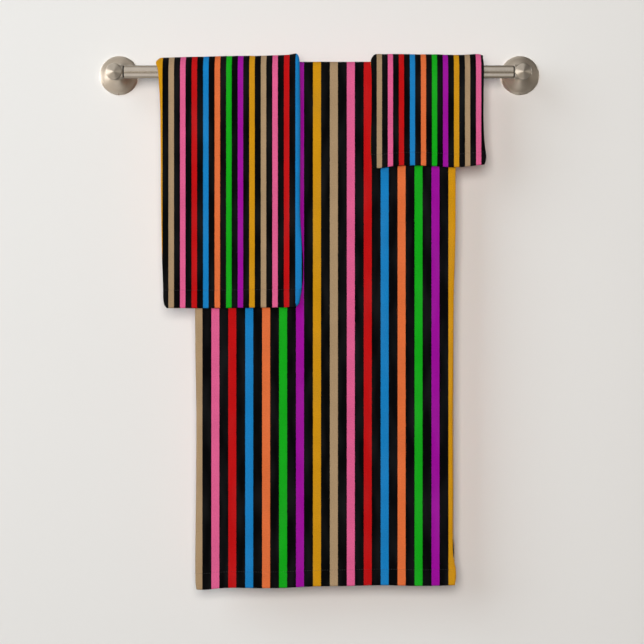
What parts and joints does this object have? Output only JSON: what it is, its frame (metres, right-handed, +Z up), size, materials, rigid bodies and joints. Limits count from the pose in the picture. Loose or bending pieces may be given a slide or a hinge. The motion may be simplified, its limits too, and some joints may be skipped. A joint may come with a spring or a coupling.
{
  "type": "bath towel set on wall rail",
  "caption": "Bath towel, hand towel and washcloth in striped terry, folded lengthwise and draped over a brushed nickel wall rail on trumpet-shaped rosettes.",
  "frame": {"origin": "on the wall plane, midway between the rosette centres at the height of the rail's axis", "axes": "+Y into the wall, +Z up, +X to the right along the rail as seen from the room"},
  "size_m": [0.658, 0.1235, 0.787],
  "materials": {
    "nickel": "brushed nickel plate, satin",
    "zinc_steel": "zinc-plated pressed steel",
    "screw_steel": "plain steel screws",
    "bath_terry": "printed terry, black ground with bright vertical stripes, white looped reverse",
    "hand_terry": "printed terry, black ground with bright vertical stripes, white looped reverse",
    "wash_terry": "printed terry, black ground with bright vertical stripes, white looped reverse"
  },
  "bodies": {
    "rail": {"rail_bar": "nickel", "left_post": "nickel", "left_rosette": "nickel", "left_post_screw": "screw_steel", "left_wall_bracket": "zinc_steel", "left_grub_screw": "screw_steel", "left_upper_wall_screw": "screw_steel", "left_lower_wall_screw": "screw_steel", "right_post": "nickel", "right_rosette": "nickel", "right_post_screw": "screw_steel", "right_wall_bracket": "zinc_steel", "right_grub_screw": "screw_steel", "right_upper_wall_screw": "screw_steel", "right_lower_wall_screw": "screw_steel"},
    "bath_towel": {"bath_towel_saddle": "bath_terry", "bath_towel_back": "bath_terry", "bath_towel_back_hem": "bath_terry"},
    "bath_towel_front_drop": {"bath_towel_front": "bath_terry", "bath_towel_front_hem": "bath_terry"},
    "hand_towel": {"hand_towel_saddle": "hand_terry", "hand_towel_back": "hand_terry", "hand_towel_back_hem": "hand_terry"},
    "hand_towel_front_drop": {"hand_towel_front": "hand_terry", "hand_towel_front_hem": "hand_terry"},
    "washcloth": {"washcloth_saddle": "wash_terry", "washcloth_back": "wash_terry", "washcloth_back_hem": "wash_terry"},
    "washcloth_front_drop": {"washcloth_front": "wash_terry", "washcloth_front_hem": "wash_terry"}
  },
  "joints": [
    {"name": "bath_towel_slide", "type": "slide", "parent": "rail", "child": "bath_towel", "axis": [1, 0, 0], "range_m": [-0.1, 0.082]},
    {"name": "hand_towel_slide", "type": "slide", "parent": "rail", "child": "hand_towel", "axis": [1, 0, 0], "range_m": [-0.045, 0.05]},
    {"name": "washcloth_slide", "type": "slide", "parent": "rail", "child": "washcloth", "axis": [1, 0, 0], "range_m": [-0.05, 0.04]},
    {"name": "bath_towel_front_swing", "type": "hinge", "parent": "bath_towel", "child": "bath_towel_front_drop", "pos_m": [0, -0.072, 0], "axis": [-1, 0, 0], "range_deg": [0, 20]},
    {"name": "hand_towel_front_swing", "type": "hinge", "parent": "hand_towel", "child": "hand_towel_front_drop", "pos_m": [0, -0.072, 0], "axis": [-1, 0, 0], "range_deg": [0, 20]},
    {"name": "washcloth_front_swing", "type": "hinge", "parent": "washcloth", "child": "washcloth_front_drop", "pos_m": [0, -0.072, 0], "axis": [-1, 0, 0], "range_deg": [0, 20]}
  ],
  "couplings": [
    {"joint": "hand_towel_front_swing", "follows": "bath_towel_front_swing", "ratio": 1},
    {"joint": "washcloth_front_swing", "follows": "bath_towel_front_swing", "ratio": 1}
  ]
}
